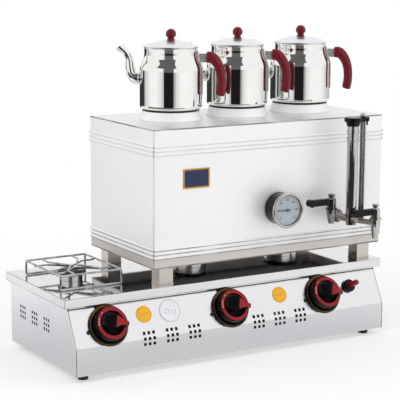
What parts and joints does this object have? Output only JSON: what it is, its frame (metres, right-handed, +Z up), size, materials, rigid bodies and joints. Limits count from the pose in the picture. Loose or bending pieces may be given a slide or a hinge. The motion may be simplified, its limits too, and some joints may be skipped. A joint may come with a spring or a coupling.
{
  "type": "gas tea urn",
  "caption": "Countertop gas tea urn: rectangular water tank with taps and thermometer on a low stove, with steel teapots on top and a wire grate for coffee beside it.",
  "frame": {"origin": "on the resting surface, below the middle of the outline", "axes": "+Z up, +X to the right seen from the front, +Y from the front to the back"},
  "size_m": [0.8216, 0.4182, 0.7173],
  "materials": {
    "stove_steel": "satin stainless sheet",
    "worktop_steel": "mirror polished stainless sheet",
    "foot_rubber": "matt black",
    "grate_wire": "bright plated wire",
    "burner_metal": "bright turned",
    "burner_enamel": "black enamel",
    "gas_steel": "zinc plated",
    "valve_brass": "machined",
    "feed_aluminium": "drawn tube",
    "control_plastic": "black moulded",
    "spindle_steel": "turned",
    "igniter_plastic": "black moulded",
    "button_plastic": "red moulded",
    "disc_vinyl": "yellow and clear printed film",
    "tank_steel": "semi-bright stainless sheet",
    "leg_steel": "satin stainless tube",
    "plate_metal": "satin plate",
    "gauge_metal": "polished bezel",
    "dial_paint": "white painted dial",
    "needle_paint": "black painted",
    "gauge_glass": "clear",
    "tap_chrome": "polished plating",
    "lever_plastic": "black moulded",
    "pot_steel": "mirror polished stainless",
    "grip_bakelite": "dark red moulded",
    "ball_bakelite": "red moulded"
  },
  "bodies": {
    "stove": {"bottom_panel": "stove_steel", "burner_bases": "burner_metal", "burner_caps": "burner_enamel", "case_wrap": "stove_steel", "feed_pipes": "feed_aluminium", "filter_canister": "tap_chrome", "front_panel": "stove_steel", "gas_rail": "gas_steel", "gas_valves": "valve_brass", "igniter_body": "igniter_plastic", "knob_bezels": "control_plastic", "leg_screws": "leg_steel", "nameplate": "plate_metal", "panel_discs": "disc_vinyl", "rubber_feet": "foot_rubber", "sight_bracket": "lever_plastic", "sight_guard": "tap_chrome", "sight_tube": "gauge_glass", "tank_bottom": "tank_steel", "tank_legs": "leg_steel", "tank_shell": "tank_steel", "tank_top": "tank_steel", "tap_body_left": "tap_chrome", "tap_body_right": "tap_chrome", "tap_manifold": "tap_chrome", "teapot_seats": "tank_steel", "thermometer_case": "gauge_metal", "thermometer_dial": "dial_paint", "thermometer_glass": "gauge_glass", "worktop": "worktop_steel"},
    "plug_1": {"valve_plug_1": "valve_brass"},
    "knob_1_body": {"spindle_1": "spindle_steel", "knob_1": "control_plastic"},
    "pot_1": {"teapot_1": "pot_steel", "teapot_grip_1": "grip_bakelite"},
    "lid_1": {"teapot_lid_1": "pot_steel", "teapot_lid_ball_1": "ball_bakelite"},
    "plug_2": {"valve_plug_2": "valve_brass"},
    "knob_2_body": {"spindle_2": "spindle_steel", "knob_2": "control_plastic"},
    "pot_2": {"teapot_2": "pot_steel", "teapot_grip_2": "grip_bakelite"},
    "lid_2": {"teapot_lid_2": "pot_steel", "teapot_lid_ball_2": "ball_bakelite"},
    "plug_3": {"valve_plug_3": "valve_brass"},
    "knob_3_body": {"spindle_3": "spindle_steel", "knob_3": "control_plastic"},
    "pot_3": {"teapot_3": "pot_steel", "teapot_grip_3": "grip_bakelite"},
    "lid_3": {"teapot_lid_3": "pot_steel", "teapot_lid_ball_3": "ball_bakelite"},
    "grate": {"pan_support": "grate_wire"},
    "button": {"igniter_button": "button_plastic"},
    "left_key": {"tap_key_left": "tap_chrome", "tap_lever_left": "lever_plastic"},
    "right_key": {"tap_key_right": "tap_chrome", "tap_lever_right": "lever_plastic"},
    "cap": {"canister_cap": "lever_plastic"},
    "needle": {"thermometer_needle": "needle_paint"}
  },
  "joints": [
    {"name": "gas_turn_1", "type": "hinge", "parent": "stove", "child": "plug_1", "pos_m": [-0.315, -0.12403, 0.11095], "axis": [0, -0.89, 0.456], "range_deg": [0, 180]},
    {"name": "knob_press_1", "type": "slide", "parent": "plug_1", "child": "knob_1_body", "axis": [0, 0.89, -0.456], "range_m": [0, 0.004], "stiffness_N_per_m": 1500},
    {"name": "gas_turn_2", "type": "hinge", "parent": "stove", "child": "plug_2", "pos_m": [-0.013, -0.12403, 0.11095], "axis": [0, -0.89, 0.456], "range_deg": [0, 180]},
    {"name": "knob_press_2", "type": "slide", "parent": "plug_2", "child": "knob_2_body", "axis": [0, 0.89, -0.456], "range_m": [0, 0.004], "stiffness_N_per_m": 1500},
    {"name": "gas_turn_3", "type": "hinge", "parent": "stove", "child": "plug_3", "pos_m": [0.237, -0.12403, 0.11095], "axis": [0, -0.89, 0.456], "range_deg": [0, 180]},
    {"name": "knob_press_3", "type": "slide", "parent": "plug_3", "child": "knob_3_body", "axis": [0, 0.89, -0.456], "range_m": [0, 0.004], "stiffness_N_per_m": 1500},
    {"name": "igniter_press", "type": "slide", "parent": "stove", "child": "button", "axis": [0, 0.89, -0.456], "range_m": [0, 0.006], "stiffness_N_per_m": 1500},
    {"name": "left_tap", "type": "hinge", "parent": "stove", "child": "left_key", "pos_m": [0.24213, -0.14689, 0.3173], "axis": [0, 0, 1], "range_deg": [0, 90]},
    {"name": "right_tap", "type": "hinge", "parent": "stove", "child": "right_key", "pos_m": [0.33072, -0.19539, 0.2943], "axis": [0, 0, 1], "range_deg": [0, 90]},
    {"name": "needle_turn", "type": "hinge", "parent": "stove", "child": "needle", "pos_m": [0.119, -0.1135, 0.323], "axis": [0, 1, 0], "range_deg": [-45, 225], "stiffness_Nm_per_rad": 0.01},
    {"name": "cap_lift", "type": "slide", "parent": "stove", "child": "cap", "axis": [0, 0, 1], "range_m": [0, 0.06]},
    {"name": "grate_lift", "type": "slide", "parent": "stove", "child": "grate", "axis": [0, 0, 1], "range_m": [0, 0.08]},
    {"name": "pot_lift_1", "type": "slide", "parent": "stove", "child": "pot_1", "axis": [0, 0, 1], "range_m": [0, 0.15]},
    {"name": "lid_lift_1", "type": "slide", "parent": "pot_1", "child": "lid_1", "axis": [0, 0, 1], "range_m": [0, 0.1]},
    {"name": "pot_lift_2", "type": "slide", "parent": "stove", "child": "pot_2", "axis": [0, 0, 1], "range_m": [0, 0.15]},
    {"name": "lid_lift_2", "type": "slide", "parent": "pot_2", "child": "lid_2", "axis": [0, 0, 1], "range_m": [0, 0.1]},
    {"name": "pot_lift_3", "type": "slide", "parent": "stove", "child": "pot_3", "axis": [0, 0, 1], "range_m": [0, 0.15]},
    {"name": "lid_lift_3", "type": "slide", "parent": "pot_3", "child": "lid_3", "axis": [0, 0, 1], "range_m": [0, 0.1]}
  ]
}
